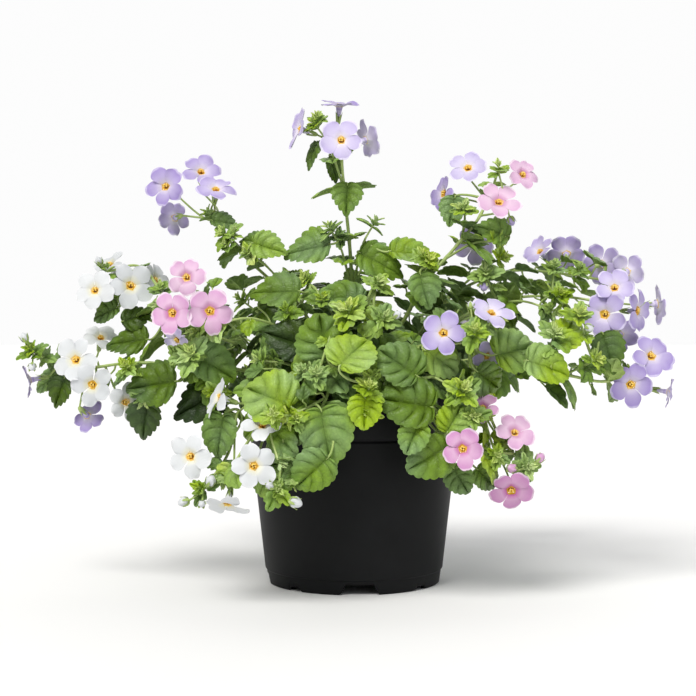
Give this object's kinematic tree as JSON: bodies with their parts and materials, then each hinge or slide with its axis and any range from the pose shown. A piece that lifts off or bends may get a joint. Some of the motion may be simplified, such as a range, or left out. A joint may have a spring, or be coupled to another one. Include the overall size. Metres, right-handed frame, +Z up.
{
  "type": "potted bacopa",
  "caption": "Trailing bacopa with lavender, pink and white blooms, growing in soil in a plain black nursery pot.",
  "frame": {"origin": "on the ground under the pot's axis, at the middle of the flat pad under its floor", "axes": "+Z up along the pot's axis, +X to the right seen from the front, and the plant's front faces -Y"},
  "size_m": [0.3561, 0.2322, 0.2694],
  "materials": {
    "pot": "matte black moulded plastic",
    "soil": "dark crumbly peat",
    "foliage": "fresh green, soft sheen",
    "petals_lavender": "matte petal",
    "petals_pink": "matte petal",
    "petals_white": "matte petal"
  },
  "bodies": {
    "root": {"pot": "pot", "soil": "soil", "plant_crown": "foliage", "plant_left": "foliage", "plant_low_left": "foliage", "plant_right_front": "foliage", "plant_right": "foliage", "plant_back": "foliage", "bloom_lavender_01": "petals_lavender", "bloom_lavender_02": "petals_lavender", "bloom_lavender_03": "petals_lavender", "bloom_lavender_04": "petals_lavender", "bloom_lavender_05": "petals_lavender", "bloom_lavender_06": "petals_lavender", "bloom_lavender_07": "petals_lavender", "bloom_lavender_08": "petals_lavender", "bloom_lavender_09": "petals_lavender", "bloom_lavender_10": "petals_lavender", "bloom_lavender_11": "petals_lavender", "bloom_lavender_12": "petals_lavender", "bloom_lavender_13": "petals_lavender", "bloom_lavender_14": "petals_lavender", "bloom_lavender_15": "petals_lavender", "bloom_lavender_16": "petals_lavender", "bloom_lavender_17": "petals_lavender", "bloom_lavender_18": "petals_lavender", "bloom_lavender_19": "petals_lavender", "bloom_lavender_20": "petals_lavender", "bloom_lavender_21": "petals_lavender", "bloom_lavender_22": "petals_lavender", "bloom_lavender_23": "petals_lavender", "bloom_lavender_24": "petals_lavender", "bloom_lavender_25": "petals_lavender", "bloom_lavender_26": "petals_lavender", "bloom_lavender_27": "petals_lavender", "bloom_lavender_28": "petals_lavender", "bloom_lavender_29": "petals_lavender", "bloom_pink_01": "petals_pink", "bloom_pink_02": "petals_pink", "bloom_pink_03": "petals_pink", "bloom_pink_04": "petals_pink", "bloom_pink_05": "petals_pink", "bloom_pink_06": "petals_pink", "bloom_pink_07": "petals_pink", "bloom_pink_08": "petals_pink", "bloom_pink_09": "petals_pink", "bloom_pink_10": "petals_pink", "bloom_pink_11": "petals_pink", "bloom_white_01": "petals_white", "bloom_white_02": "petals_white", "bloom_white_03": "petals_white", "bloom_white_04": "petals_white", "bloom_white_05": "petals_white", "bloom_white_06": "petals_white", "bloom_white_07": "petals_white", "bloom_white_08": "petals_white", "bloom_white_09": "petals_white", "bloom_white_10": "petals_white", "bloom_white_11": "petals_white", "bloom_white_12": "petals_white"}
  },
  "joints": []
}
